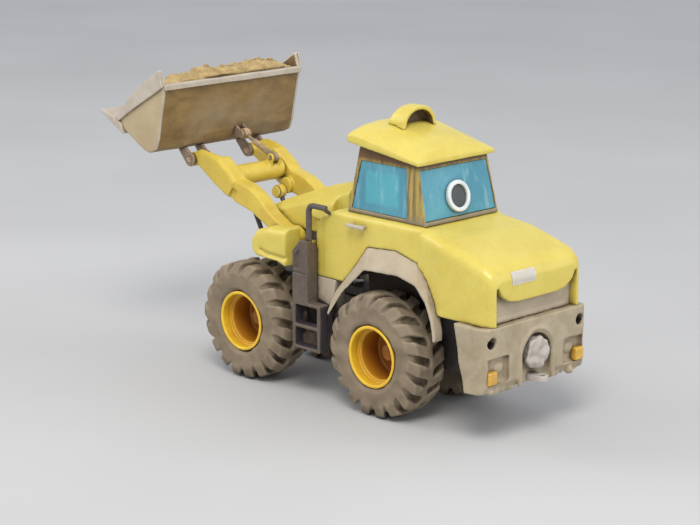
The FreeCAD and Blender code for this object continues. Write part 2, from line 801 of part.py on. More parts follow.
tilt_barrel_end = 24.0
tilt_barrel_radius = 2.4
tilt_rod_radius = 1.3
tilt_rod_length = 31.3
tilt_open_hole = 2.9
tilt_eye_radius = 4.2
tilt_head_pin = 1.3


def make_tilt_barrel():
    half = tilt_gap / 2 - 0.1
    eye = rod_y(tilt_base[0], tilt_base[1], 3.2, tilt_y - half, tilt_y + half)
    tube = rod_between(tilt_base, along(tilt_base, tilt_head, tilt_barrel_end), tilt_barrel_radius, tilt_y)
    pin = rod_y(tilt_base[0], tilt_base[1], tilt_pin_radius, tilt_y - 5, tilt_y + 5)
    bore = rod_between(along(tilt_base, tilt_head, 4), along(tilt_base, tilt_head, 40),
                       tilt_rod_radius + running_gap, tilt_y)
    return joined([eye, tube, pin]).cut(bore)


def make_tilt_rod():
    length = math.dist(tilt_base, tilt_head)
    rod = rod_between(along(tilt_base, tilt_head, length - tilt_rod_length), tilt_head, tilt_rod_radius,
                      tilt_y)
    eye = rod_y(tilt_head[0], tilt_head[1], tilt_eye_radius, tilt_y - 2.2, tilt_y + 2.2)
    hole = rod_y(tilt_head[0], tilt_head[1], tilt_open_hole, tilt_y - 9, tilt_y + 9)
    return joined([rod, eye]).cut(hole)


# ---- bucket ----------------------------------------------------------------------
bucket_back = [(202, 216), (205, 202), (208, 188), (210.5, 175), (214, 167), (221, 163.5), (230, 166.5),
               (259, 183)]


def bucket_section():
    return bucket_back + [(248, 197), (234, 210), bucket_tip]


def inner_section():
    return [(205, 240), (207.5, 202), (210.5, 188), (213, 176), (216, 169.5), (221.5, 166.4), (229, 169),
            (262, 187.5), (300, 240)]


def make_bucket_shell():
    """One-piece trough: its back ends level, and the side plates rise to the tips."""
    solid = slab_y(bucket_section(), -bucket_half, bucket_half)
    between = bucket_half - bucket_wall
    above_back = box(190, 240, -between, between, bucket_back_top[1], 240)
    return solid.cut(slab_y(inner_section(), -between, between)).cut(above_back)


def make_cutting_edge():
    """Wear plate along the bucket's lip, with raised ends."""
    plate = slab_y([(250, 174.8), (bucket_edge_tip[0], 189.5), bucket_edge_tip, (257, 185.6), (252, 183)],
                   -bucket_half - 2, bucket_half + 2)
    return plate.cut(make_bucket_shell())


def make_side_cutters():
    """Thick bands along the upper edges of the side plates."""
    band = slab_y([(202, 216), (bucket_tip[0] - 1, bucket_tip[1]), (bucket_tip[0] + 2, bucket_tip[1] - 1),
                   (234, 211), (248, 198), (260, 186), (257, 183.6), (244, 192)],
                  bucket_half, bucket_half + 2)
    return both_sides(band.cut(make_cutting_edge()))


def make_bucket_rim():
    """Strip along the top edge of the back."""
    x, z = bucket_back_top
    rim = slab_y([(x - 1.4, z - 2.5), (x - 1.8, z + 2), (x + 4, z + 2), (x + 4, z)], -bucket_half, bucket_half)
    return rim.cut(make_bucket_shell())


def make_soil():
    """Heap of earth: a level fill with two higher mounds on it."""
    between = bucket_half - bucket_wall
    fill = [(207.4, 205), (213.4, 176.5), (217, 170), (221.5, 167), (229, 169.6), (256, 185), (246, 196),
            (232, 209)]
    mounds = []
    for peak_z, right, left in ((218, -between, between), (221, -61, 50), (224, -56, 26)):
        crest = [(222, peak_z), (210, peak_z), (204, peak_z - 4)]
        mounds.append(slab_y(fill + crest, right, left))
    return joined(mounds).cut(make_bucket_shell()).cut(make_bucket_rim()).cut(make_cutting_edge())


bracket_plate = 2.5
side_play = 0.3


def make_bucket_brackets():
    """Grey ears under the bucket that hold the two arm tips, and the tilt rod's ears."""
    x, z = bucket_pivot
    foot = [(x - 4.5, z + 2), (x + 4, z - 3.5), (x + 16, z + 10), (x + 7, z + 11)]
    plates = []
    for y in (arm_inner_y - side_play - bracket_plate, arm_outer_y + side_play):
        plate = rod_y(x, z, 5.3, y, y + bracket_plate).fuse(slab_y(foot, y, y + bracket_plate))
        plate = plate.cut(rod_y(x, z, bucket_pin_radius, 0, 60))
        plates += [plate, mirrored(plate)]
    head_x, head_z = tilt_head
    ear_foot = [(head_x - 3, head_z), (head_x + 3, head_z - 3), (head_x + 9, head_z - 2),
                (head_x + 9, head_z + 9), (head_x, head_z + 3.2)]
    pin = rod_y(head_x, head_z, tilt_head_pin, tilt_y - tilt_gap / 2 - 1, tilt_y + tilt_gap / 2 + 1)
    plates.append(joined(tilt_ears(tilt_head, 3.4, ear_foot) + [pin]))
    body = slab_y(bucket_section(), -bucket_half, bucket_half)
    return Part.makeCompound([plate.cut(body) for plate in plates])


def make_bucket_pins():
    reach = side_play + bracket_plate
    pin = rod_y(bucket_pivot[0], bucket_pivot[1], bucket_pin_radius, arm_inner_y - reach,
                arm_outer_y + reach)
    return both_sides(pin)


# ---- every node, by name -----------------------------------------------------------
def wheel_nodes():
    nodes = {}
    for kind, shape in (("tyre", make_tyre()), ("rim", make_rim())):
        for end, x in (("rear", 0.0), ("front", wheelbase)):
            left = shape.copy()
            left.translate(V(x, 0, 0))
            nodes[kind + "_" + end + "_left"] = left
            nodes[kind + "_" + end + "_right"] = mirrored(left)
    return nodes


def left_and_right(name, shape):
    return {name + "_left": shape, name + "_right": mirrored(shape)}


nodes = {
    "rear_chassis": make_rear_chassis(),
    "rear_axle": make_axle(0),
    "rear_axle_caps": make_axle_caps(0),
    "chassis_screws": make_screws(),
    "steering_pin": make_steer_pin(),
    "counterweight": make_counterweight(),
    "counterweight_disc": make_counterweight_disc(),
    "tow_hitch": make_tow_hitch(),
    "rear_lamps": make_rear_lamps(),
    "hood": make_hood(),
    "rear_panel": make_rear_panel(),
    "cab_body": make_cab_body(),
    "side_skirts": make_side_skirts(),
    "door_handles": make_door_handles(),
    "handrails": make_handrails(),
    "cab_frame": make_cab_frame(),
    "window_rear": glazing(end_opening(), front_half(), False),
    "window_front": glazing(end_opening(), front_half(), True),
    "side_windows": make_side_windows(),
    "porthole_ring": make_porthole_ring(),
    "porthole_disc": make_porthole_disc(),
    "roof": make_roof(),
    "roof_scoop": make_roof_cowl(),
    "front_chassis": make_front_chassis(),
    "front_axle": make_axle(wheelbase),
    "front_axle_caps": make_axle_caps(wheelbase),
    "nose_cowl": make_cowl(),
    "arm_pins": make_arm_pins(),
    "lift_base_pin": make_lift_base_pin(),
    "cross_tube": make_cross_tube(),
    "tilt_barrel": make_tilt_barrel(),
    "tilt_rod": make_tilt_rod(),
    "bucket_shell": make_bucket_shell(),
    "bucket_rim": make_bucket_rim(),
    "cutting_edge": make_cutting_edge(),
    "side_cutters": make_side_cutters(),
    "soil_load": make_soil(),
    "bucket_brackets": make_bucket_brackets(),
    "bucket_pins": make_bucket_pins(),
}
nodes.update(wheel_nodes())
nodes.update(left_and_right("rear_fender", make_rear_fender()))
nodes.update(left_and_right("ladder", make_ladder()))
nodes.update(left_and_right("front_fender", make_front_fender()))
nodes.update(left_and_right("lift_arm", make_arm()))
nodes.update(left_and_right("lift_barrel", make_lift_barrel(lift_y)))
nodes.update(left_and_right("lift_rod", make_lift_rod(lift_y)))

overall_rear_x = hitch_hole_x - hitch_half
overall_middle_x = (overall_rear_x + bucket_edge_tip[0]) / 2

os.makedirs("parts", exist_ok=True)
for name, shape in nodes.items():
    shape.translate(V(-overall_middle_x, 0, 0))
    shape.exportStep("parts/" + name + ".step")
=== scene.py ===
import json
import math
import random

import bmesh
import bpy
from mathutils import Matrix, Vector, noise
from mathutils.bvhtree import BVHTree


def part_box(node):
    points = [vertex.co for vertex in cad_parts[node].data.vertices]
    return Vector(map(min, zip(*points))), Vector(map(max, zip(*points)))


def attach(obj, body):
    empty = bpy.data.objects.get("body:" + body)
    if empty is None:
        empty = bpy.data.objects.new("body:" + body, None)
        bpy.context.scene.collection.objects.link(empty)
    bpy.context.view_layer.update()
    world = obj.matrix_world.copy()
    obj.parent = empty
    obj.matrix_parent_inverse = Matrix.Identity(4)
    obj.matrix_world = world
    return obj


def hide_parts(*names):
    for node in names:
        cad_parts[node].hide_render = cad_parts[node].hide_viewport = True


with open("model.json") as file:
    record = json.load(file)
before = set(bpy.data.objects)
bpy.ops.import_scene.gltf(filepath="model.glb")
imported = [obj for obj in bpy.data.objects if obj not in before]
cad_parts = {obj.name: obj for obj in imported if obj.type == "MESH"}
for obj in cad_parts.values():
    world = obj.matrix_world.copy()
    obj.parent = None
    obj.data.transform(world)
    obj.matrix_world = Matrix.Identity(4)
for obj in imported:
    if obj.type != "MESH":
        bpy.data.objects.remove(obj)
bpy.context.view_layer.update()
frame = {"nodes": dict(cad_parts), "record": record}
nodes = frame["nodes"]
body_of_node = {node: body for body, names in frame["record"]["behaviour"]["bodies"].items()
                for node in names}

# Lengths are in metres, apart from those that a comment gives in millimetres.
MM = 0.001


# ---- materials ---------------------------------------------------------------
class Shader:
    """A node material under construction."""

    def __init__(self, name, roughness=0.5):
        self.material = bpy.data.materials.new(name)
        self.material.use_nodes = True
        self.tree = self.material.node_tree
        self.shader = self.tree.nodes["Principled BSDF"]
        self.shader.inputs["Roughness"].default_value = roughness
        self.place = self.add("ShaderNodeTexCoord").outputs["Object"]
        self.normal = None

    def add(self, kind, **values):
        node = self.tree.nodes.new(kind)
        for key, value in values.items():
            setattr(node, key, value)
        return node

    def link(self, output, socket):
        self.tree.links.new(output, socket)

    def noise(self, scale, detail=4.0, roughness=0.55, distortion=0.0, stretch=None):
        texture = self.add("ShaderNodeTexNoise")
        texture.inputs["Scale"].default_value = scale
        texture.inputs["Detail"].default_value = detail
        texture.inputs["Roughness"].default_value = roughness
        texture.inputs["Distortion"].default_value = distortion
        place = self.place
        if stretch:
            mapping = self.add("ShaderNodeMapping")
            mapping.inputs["Scale"].default_value = stretch
            self.link(place, mapping.inputs["Vector"])
            place = mapping.outputs["Vector"]
        self.link(place, texture.inputs["Vector"])
        return texture.outputs["Fac"]

    def ramp(self, value, low, high, start=0.0, end=1.0):
        """value remapped from low..high to start..end, and held there."""
        node = self.add("ShaderNodeMapRange")
        for key, number in (("From Min", low), ("From Max", high), ("To Min", start), ("To Max", end)):
            node.inputs[key].default_value = number
        self.link(value, node.inputs["Value"])
        return node.outputs["Result"]

    def times(self, value, factor):
        """value multiplied by factor, which is a number or an output."""
        node = self.add("ShaderNodeMath", operation="MULTIPLY")
        self.link(value, node.inputs[0])
        if isinstance(factor, float):
            node.inputs[1].default_value = factor
        else:
            self.link(factor, node.inputs[1])
        return node.outputs["Value"]

    def mix(self, share, first, second):
        """Colour mix: each of first and second is a colour or a colour output."""
        node = self.add("ShaderNodeMix", data_type="RGBA")
        self.link(share, node.inputs["Factor"])
        for socket, colour in ((node.inputs[6], first), (node.inputs[7], second)):
            if isinstance(colour, tuple):
                socket.default_value = (*colour, 1.0)
            else:
                self.link(colour, socket)
        return node.outputs[2]

    def edges(self, low=0.52, high=0.60):
        """1 on outward edges, 0 elsewhere."""
        return self.ramp(self.add("ShaderNodeNewGeometry").outputs["Pointiness"], low, high)

    def hollows(self, distance=0.008, low=0.35, high=0.9):
        """1 in corners and gaps, 0 in the open."""
        node = self.add("ShaderNodeAmbientOcclusion", samples=16)
        node.inputs["Distance"].default_value = distance
        return self.ramp(node.outputs["AO"], low, high, 1.0, 0.0)

    def along(self, axis, folded=False):
        """Distance from the origin along X, Y or Z, in metres; folded drops its sign."""
        split = self.add("ShaderNodeSeparateXYZ")
        self.link(self.place, split.inputs["Vector"])
        if not folded:
            return split.outputs[axis]
        node = self.add("ShaderNodeMath", operation="ABSOLUTE")
        self.link(split.outputs[axis], node.inputs[0])
        return node.outputs["Value"]

    def between(self, value, low, high, soft=0.001):
        """1 where value lies between low and high, with soft ends."""
        return self.times(self.ramp(value, low - soft, low + soft),
                          self.ramp(value, high - soft, high + soft, 1.0, 0.0))

    def colour(self, colour):
        self.link(colour, self.shader.inputs["Base Color"])

    def roughness(self, value, low, high):
        self.link(self.ramp(value, 0.3, 0.7, low, high), self.shader.inputs["Roughness"])

    def bump(self, height, distance, strength):
        """Relief on top of the relief that is there already."""
        node = self.add("ShaderNodeBump")
        node.inputs["Strength"].default_value = strength
        node.inputs["Distance"].default_value = distance
        self.link(height, node.inputs["Height"])
        if self.normal:
            self.link(self.normal, node.inputs["Normal"])
        self.normal = node.outputs["Normal"]
        self.link(self.normal, self.shader.inputs["Normal"])


def linear(red, green, blue):
    """A display colour of 0..255 as linear light."""
    def channel(value):
        value = value / 255
        return value / 12.92 if value <= 0.04045 else ((value + 0.055) / 1.055) ** 2.4
    return (channel(red), channel(green), channel(blue))


def moulded(name, base, shade, light, corner_shade, roughness=0.42, patch=60.0, corner_shade_share=0.85):
    """Moulded and hand-rubbed plastic: broad tone patches, painted shade in corners and gaps, and paler
    edges, partly wear and partly painted highlight.
    """
    look = Shader(name, roughness)
    broad = look.ramp(look.noise(patch, 5.0, 0.6, 0.6), 0.36, 0.66)
    fine = look.noise(420.0, 6.0, 0.6)
    colour = look.mix(look.times(broad, 0.55), base, shade)
    colour = look.mix(look.times(look.ramp(fine, 0.45, 0.72), 0.15), colour, light)
    # Painted shade: the colour darkens towards the shade tone in corners and gaps, in patches.
    corner_shade_mask = look.times(look.hollows(0.008, 0.3, 0.8), look.ramp(look.noise(160.0, 4.0, 0.7), 0.25, 0.6))
    colour = look.mix(look.times(corner_shade_mask, corner_shade_share), colour, corner_shade)
    # Paler edges, in patches: partly wear, partly painted highlight.
    edge_wear_and_highlight = look.times(look.edges(), look.ramp(look.noise(240.0, 5.0, 0.7), 0.38, 0.6))
    colour = look.mix(look.times(edge_wear_and_highlight, 0.6), colour, light)
    look.colour(colour)
    look.roughness(fine, roughness - 0.1, roughness + 0.15)
    look.bump(look.noise(500.0, 2.0, 0.5), 0.00004, 0.3)
    look.bump(look.noise(90.0, 3.0, 0.5), 0.0006, 0.3)
    return look.material


def yellow_body():
    return moulded("yellow_body", base=linear(216, 198, 92), shade=linear(200, 177, 66),
                   light=linear(232, 220, 150), corner_shade=linear(112, 84, 36), roughness=0.34, patch=38.0)


def yellow_arm():
    return moulded("yellow_arm", base=linear(220, 194, 76), shade=linear(194, 160, 56),
                   light=linear(238, 220, 128), corner_shade=linear(96, 66, 26), patch=50.0, corner_shade_share=0.95)


def beige_trim():
    return moulded("beige_trim", base=linear(186, 172, 148), shade=linear(158, 142, 118),
                   light=linear(212, 202, 184), corner_shade=linear(78, 64, 48),
                   roughness=0.6, patch=45.0, corner_shade_share=0.95)


def weathered_casting():
    return moulded("weathered_casting", base=linear(174, 160, 134), shade=linear(142, 126, 98),
                   light=linear(206, 196, 174), corner_shade=linear(70, 54, 36), roughness=0.62, corner_shade_share=0.95)


def bucket_khaki():
    """Mottled brown back of the bucket."""
    look = Shader("bucket_khaki", 0.62)
    swirl = look.noise(26.0, 6.0, 0.62, 1.6, (1.0, 0.7, 1.3))
    colour = look.mix(look.ramp(swirl, 0.35, 0.62), linear(110, 87, 52), linear(146, 119, 74))
    blot = look.times(look.ramp(look.noise(90.0, 6.0, 0.7, 0.8), 0.5, 0.75), 0.5)
    colour = look.mix(blot, colour, linear(96, 76, 46))
    pale = look.times(look.ramp(look.noise(14.0, 3.0, 0.5, 0.5), 0.48, 0.68), 0.55)
    colour = look.mix(pale, colour, linear(172, 156, 128))
    # Painted shade in the hollows.
    colour = look.mix(look.times(look.hollows(0.01), 0.7), colour, linear(74, 56, 34))
    # Painted highlight on the edges.
    colour = look.mix(look.times(look.edges(), 0.6), colour, linear(206, 192, 160))
    look.colour(colour)
    look.roughness(swirl, 0.5, 0.75)
    look.bump(look.noise(60.0, 5.0, 0.6, 1.5), 0.0012, 0.5)
    look.bump(look.noise(600.0, 4.0, 0.6), 0.0002, 0.5)
    return look.material


def bucket_light():
    return moulded("bucket_light", base=linear(192, 182, 166), shade=linear(160, 146, 126),
                   light=linear(224, 218, 206), corner_shade=linear(86, 70, 52), roughness=0.55)


def bucket_tan():
    return moulded("bucket_tan", base=linear(188, 170, 134), shade=linear(164, 144, 108),
                   light=linear(208, 196, 166), corner_shade=linear(96, 76, 50), roughness=0.6, patch=30.0)


def dark_plastic(name, red, green, blue):
    """Plastic of one tone, whose darker and paler patches follow from it."""
    return moulded(name, base=linear(red, green, blue),
                   shade=linear(red * 0.72, green * 0.7, blue * 0.7),
                   light=linear(red * 1.7, green * 1.65, blue * 1.6),
                   corner_shade=linear(30, 24, 20), roughness=0.55)


def tyre_rubber():
    """Dusty warm grey rubber, with painted highlight on the lugs' edges and painted shade between them."""
    look = Shader("tyre_rubber", 0.72)
    broad = look.ramp(look.noise(55.0, 4.0, 0.5, 0.4), 0.34, 0.66)
    colour = look.mix(broad, linear(116, 102, 82), linear(140, 124, 101))
    # Painted highlight on the lugs' edges.
    colour = look.mix(look.times(look.edges(0.5, 0.57), 0.6), colour, linear(172, 158, 136))
    # Painted shade between the lugs.
    colour = look.mix(look.times(look.hollows(0.007, 0.3, 0.85), 0.9), colour, linear(50, 40, 30))
    fine = look.noise(420.0, 4.0, 0.6)
    colour = look.mix(look.times(look.ramp(fine, 0.5, 0.75), 0.15), colour, linear(164, 150, 128))
    look.colour(colour)
    look.roughness(fine, 0.6, 0.8)
    look.bump(fine, 0.0002, 0.35)
    look.bump(look.noise(120.0, 3.0, 0.5), 0.0006, 0.3)
    return look.material


def rim_plastic():
    """Golden yellow that turns orange towards the hub, with painted shade in the corners and painted
    highlight on the edges.
    """
    look = Shader("rim_plastic", 0.38)
    broad = look.ramp(look.noise(90.0, 4.0, 0.6), 0.35, 0.65)
    colour = look.mix(broad, linear(240, 202, 54), linear(226, 178, 42))
    outer_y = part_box("rim_rear_left")[1].y
    inside = look.ramp(look.along("Y", True), outer_y - 0.012, outer_y - 0.004, 1.0, 0.0)
    colour = look.mix(look.times(inside, 0.8), colour, linear(196, 126, 36))
    # Painted shade, dark brown, deep in the dish and in the corners.
    deep_shade = look.hollows(0.03, 0.2, 0.8)
    colour = look.mix(look.times(deep_shade, 0.9), colour, linear(120, 58, 14))
    # Painted highlight on the edges.
    colour = look.mix(look.times(look.edges(), 0.5), colour, linear(250, 222, 110))
    look.colour(colour)
    look.roughness(broad, 0.3, 0.5)
    look.bump(look.noise(500.0, 4.0, 0.6), 0.0002, 0.5)
    return look.material


def window_turquoise():
    """Opaque panes: brushed strokes, darker rims of painted shade and a paler field on the side panes."""
    look = Shader("window_turquoise", 0.22)
    broad = look.ramp(look.noise(30.0, 3.0, 0.5, 0.6), 0.35, 0.65)
    colour = look.mix(broad, linear(68, 136, 158), linear(84, 156, 174))
    low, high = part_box("side_windows")
    rim = 0.006
    field = look.times(look.between(look.along("X"), low.x + 1.5 * rim, high.x - 2.2 * rim),
                       look.between(look.along("Z"), low.z + rim, high.z - rim))
    colour = look.mix(look.times(field, 0.5), colour, linear(78, 176, 188))
    strokes = look.ramp(look.noise(170.0, 5.0, 0.6, 0.3, (1.0, 1.0, 0.22)), 0.54, 0.72)
    colour = look.mix(look.times(strokes, 0.4), colour, linear(168, 210, 218))
    # Painted shade along the rims of the panes.
    colour = look.mix(look.times(look.hollows(0.005, 0.3, 0.95), 0.8), colour, linear(36, 74, 82))
    look.colour(colour)
    look.roughness(broad, 0.16, 0.3)
    look.shader.inputs["Coat Weight"].default_value = 0.4
    look.bump(look.noise(70.0, 2.0, 0.5), 0.0005, 0.3)
    return look.material


def cab_frame_brown():
    """Sill grey-brown, pillars streaked with gold, header under the roof darkest with painted shade."""
    look = Shader("cab_frame_brown", 0.5)
    low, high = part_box("side_windows")
    streaks = look.noise(330.0, 4.0, 0.6, 0.2, (1.0, 1.0, 0.07))
    colour = look.mix(look.ramp(streaks, 0.38, 0.6), linear(116, 98, 66), linear(176, 152, 78))
    sill = look.ramp(look.along("Z"), low.z - 0.002, low.z + 0.004, 1.0, 0.0)
    colour = look.mix(sill, colour, linear(140, 128, 106))
    # Painted shade on the header under the roof.
    shade_under_roof = look.ramp(look.along("Z"), high.z, high.z + 0.003)
    colour = look.mix(look.times(shade_under_roof, 0.9), colour, linear(96, 64, 34))
    # Painted shade in the corners.
    colour = look.mix(look.times(look.hollows(0.006), 0.85), colour, linear(40, 26, 16))
    # Painted highlight on the edges.
    colour = look.mix(look.times(look.edges(), 0.5), colour, linear(206, 184, 110))
    look.colour(colour)
    look.roughness(streaks, 0.4, 0.65)
    look.bump(streaks, 0.0004, 0.5)
    return look.material


def smooth_white():
    return moulded("ring_white", base=linear(224, 230, 230), shade=linear(186, 198, 200),
                   light=linear(246, 248, 248), corner_shade=linear(110, 124, 126), roughness=0.32)


def disc_grey():
    return moulded("disc_grey", base=linear(72, 76, 78), shade=linear(52, 55, 57),
                   light=linear(104, 108, 110), corner_shade=linear(24, 26, 28), roughness=0.4)


def boss_grey():
    return moulded("boss_grey", base=linear(188, 180, 170), shade=linear(158, 148, 136),
                   light=linear(216, 210, 202), corner_shade=linear(92, 82, 70), roughness=0.6)


def lamp_amber():
    """Clear-coated amber lens with fine level ribs."""
    look = Shader("lamp_amber", 0.2)
    stripes = look.add("ShaderNodeTexWave", wave_type="BANDS", bands_direction="Z")
    stripes.inputs["Scale"].default_value = 260.0
    look.link(look.place, stripes.inputs["Vector"])
    broad = look.ramp(look.noise(150.0, 3.0), 0.35, 0.65)
    colour = look.mix(broad, linear(222, 176, 60), linear(200, 146, 40))
    # Painted shade in the hollows.
    colour = look.mix(look.times(look.hollows(0.004), 0.7), colour, linear(112, 66, 22))
    look.colour(colour)
    look.shader.inputs["Coat Weight"].default_value = 0.6
    look.shader.inputs["Subsurface Weight"].default_value = 0.1
    look.shader.inputs["Subsurface Radius"].default_value = (0.003, 0.0015, 0.0005)
    look.bump(stripes.outputs["Fac"], 0.0004, 0.5)
    return look.material


def earth():
    """Sandy earth of pale grains on darker lumps."""
    look = Shader("loose_earth", 0.95)
    lumps = look.noise(120.0, 8.0, 0.7, 0.5)
    grains = look.noise(900.0, 6.0, 0.75)
    colour = look.mix(look.ramp(lumps, 0.34, 0.66), linear(152, 126, 78), linear(198, 172, 120))
    colour = look.mix(look.times(look.ramp(grains, 0.5, 0.72), 0.5), colour, linear(216, 194, 146))
    # Painted shade between the lumps.
    colour = look.mix(look.times(look.hollows(0.006), 0.8), colour, linear(96, 76, 48))
    look.colour(colour)
    look.bump(lumps, 0.0016, 0.6)
    look.bump(grains, 0.0005, 0.8)
    return look.material


def bare_steel():
    """Turned steel with fine rings."""
    look = Shader("bare_steel", 0.34)
    look.shader.inputs["Metallic"].default_value = 1.0
    brushed = look.noise(260.0, 4.0, 0.6, 0.0, (1.0, 9.0, 1.0))
    colour = look.mix(brushed, linear(150, 148, 146), linear(196, 194, 190))
    # Painted shade in the hollows.
    colour = look.mix(look.times(look.hollows(0.004), 0.6), colour, linear(60, 50, 42))
    look.colour(colour)
    look.roughness(brushed, 0.25, 0.5)
    look.bump(brushed, 0.0002, 0.4)
    return look.material


def axle_cap_orange():
    return moulded("axle_cap_orange", base=linear(150, 90, 32), shade=linear(118, 66, 22),
                   light=linear(178, 122, 48), corner_shade=linear(64, 32, 12), roughness=0.45)


def pale_patch():
    """Smooth film with faint cloudy tone."""
    look = Shader("pale_patch", 0.3)
    cloud = look.noise(120.0, 3.0, 0.5)
    colour = look.mix(look.ramp(cloud, 0.35, 0.65), linear(253, 251, 246), linear(246, 240, 222))
    look.colour(colour)
    look.roughness(cloud, 0.25, 0.4)
    look.bump(cloud, 0.0002, 0.3)
    return look.material


YELLOW = yellow_body()
ARM_YELLOW = yellow_arm()
BEIGE = beige_trim()
KHAKI = bucket_khaki()
LIGHT = bucket_light()
TAN = bucket_tan()
DARK = dark_plastic("dark_grey", 66, 62, 62)
STEP_GREY = dark_plastic("step_grey", 98, 86, 75)
BRACKET_BROWN = dark_plastic("bracket_brown", 142, 122, 102)
LINK_BROWN = dark_plastic("link_brown", 140, 122, 96)
CAB_BROWN = cab_frame_brown()
RUBBER = tyre_rubber()
RIM = rim_plastic()
TEAL = window_turquoise()
WHITE = smooth_white()
DISC = disc_grey()
BOSS = boss_grey()
AMBER = lamp_amber()
EARTH = earth()
STEEL = bare_steel()
CASTING = weathered_casting()
RAIL_GREY = dark_plastic("rail_grey", 88, 80, 76)
# Painted shade for the inside of the boarding steps.
STEP_SHADE = dark_plastic("step_shade", 62, 58, 64)
# Painted shade for the inside of the counterweight's eyes.
EYE_SHADE = dark_plastic("eye_shade", 70, 64, 60)
# Painted shade for the inside of the roof scoop's mouth.
SCOOP_SHADE = dark_plastic("scoop_shade", 96, 76, 50)
# Painted shade for the wheel wells and the faces over the wheels.
WELL_SHADE = dark_plastic("well_shade", 74, 64, 54)
CAP_ORANGE = axle_cap_orange()
PATCH = pale_patch()


# ---- mesh tools ------------------------------------------------------------------
def give(obj, material):
    """Make this the piece's only material."""
    obj.data.materials.clear()
    obj.data.materials.append(material)


def paint(obj, material, chosen):
    """A further material on the faces that chosen(centre, normal) picks."""
    obj.data.materials.append(material)
    index = len(obj.data.materials) - 1
    for polygon in obj.data.polygons:
        if chosen(polygon.center, polygon.normal):
            polygon.material_index = index


def new_object(name, mesh):
    obj = bpy.data.objects.new(name, mesh)
    bpy.context.scene.collection.objects.link(obj)
    return obj


def copy_of(node, name):
    return new_object(name, nodes[node].data.copy())


def from_bmesh(name, bm):
    bmesh.ops.recalc_face_normals(bm, faces=bm.faces)
    mesh = bpy.data.meshes.new(name)
    bm.to_mesh(mesh)
    bm.free()
    return new_object(name, mesh)


def apply_modifiers(obj):
    graph = bpy.context.evaluated_depsgraph_get()
    mesh = bpy.data.meshes.new_from_object(obj.evaluated_get(graph))
    obj.modifiers.clear()
    old = obj.data
    obj.data = mesh
    if old.users == 0:
        bpy.data.meshes.remove(old)


def remesh(obj, voxel, rounds):
    """Turn overlapping closed solids into one even skin, then relax it by rounds."""
    skin = obj.modifiers.new("skin", "REMESH")
    skin.mode = "VOXEL"
    skin.voxel_size = voxel
    skin.use_smooth_shade = True
    relax = obj.modifiers.new("relax", "SMOOTH")
    relax.factor = 0.5
    relax.iterations = rounds
    apply_modifiers(obj)


def smooth_shaded(obj):
    for polygon in obj.data.polygons:
        polygon.use_smooth = True


def deform(obj, move):
    """Move every vertex: move(x, y, z) in millimetres returns the new place."""
    for vertex in obj.data.vertices:
        vertex.co = Vector(move(*(vertex.co / MM))) * MM
    obj.data.update()


def wobble(obj, amount, size, seed):
    """Slight hand-made unevenness: amount and size in millimetres."""
    offset = Vector((seed * 3.1, seed * 7.7, seed * 1.9))
    normals = [vertex.normal.copy() for vertex in obj.data.vertices]
    for vertex, normal in zip(obj.data.vertices, normals):
        vertex.co += normal * noise.noise(vertex.co / (size * MM) + offset) * amount * MM
    obj.data.update()


def tube(name, path, radius, sides=12):
    """Closed round bar along a path of points that lie in a plane of constant x."""
    bm = bmesh.new()
    rings = []
    for at, before, after in zip(path, [path[0]] + path[:-1], path[1:] + [path[-1]]):
        across = (after - before).normalized().cross(Vector((1, 0, 0)))
        ring = []
        for step in range(sides):
            angle = 2 * math.pi * step / sides
            offset = across * math.cos(angle) + Vector((1, 0, 0)) * math.sin(angle)
            ring.append(bm.verts.new(at + offset * radius))
        rings.append(ring)
    for first, second in zip(rings, rings[1:]):
        for step in range(sides):
            following = (step + 1) % sides
            bm.faces.new((first[step], first[following], second[following], second[step]))
    bm.faces.new(rings[0])
    bm.faces.new(rings[-1])
    return from_bmesh(name, bm)


def blob(name, place, half_sizes):
    """Small ellipsoid; half_sizes in millimetres."""
    bm = bmesh.new()
    bmesh.ops.create_icosphere(bm, subdivisions=3, radius=1.0)
    for vertex in bm.verts:
        vertex.co = place + Vector([part * half * MM for part, half in zip(vertex.co, half_sizes)])
    return from_bmesh(name, bm)


def join(objects):
    """Merge the meshes of all objects into the first one."""
    bm = bmesh.new()
    for obj in objects:
        bm.from_mesh(obj.data)
    bm.to_mesh(objects[0].data)
    bm.free()
    for obj in objects[1:]:
        bpy.data.objects.remove(obj)
    return objects[0]


def bvh_of(obj):
    return BVHTree.FromPolygons([vertex.co for vertex in obj.data.vertices],
                                [polygon.vertices for polygon in obj.data.polygons])


def finish_piece(obj, body, replaced, material):
    """Let a new piece ride on its body, in place of the replaced nodes."""
    smooth_shaded(obj)
    give(obj, material)
    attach(obj, body)
    if replaced:
        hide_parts(*replaced)


def softened(node, voxel, rounds, material, uneven=0.25, move=None):
    """The node's shape as a soft-edged moulding.

    voxel, in millimetres, is the finest detail kept. rounds says how far its edges are
    relaxed. uneven, in millimetres, is how far its faces stray from true.
    """
    unevenness_size = 22.0
    obj = copy_of(node, node + "_moulding")
    remesh(obj, voxel * MM, rounds)
    if move:
        deform(obj, move)
    wobble(obj, uneven, unevenness_size, len(node))
    finish_piece(obj, body_of_node[node], [node], material)
    return obj


def plain(node, material, bevel=0.25):
    """A node that keeps its shape, with its sharp edges broken by bevel millimetres."""
    obj = nodes[node]
    give(obj, material)
    edge = obj.modifiers.new("edge", "BEVEL")
    edge.width = bevel * MM
    edge.segments = 2
    edge.limit_method = "ANGLE"
    edge.angle_limit = math.radians(40)
    smooth_shaded(obj)
    split = obj.modifiers.new("split", "EDGE_SPLIT")
    split.split_angle = math.radians(38)
    return obj


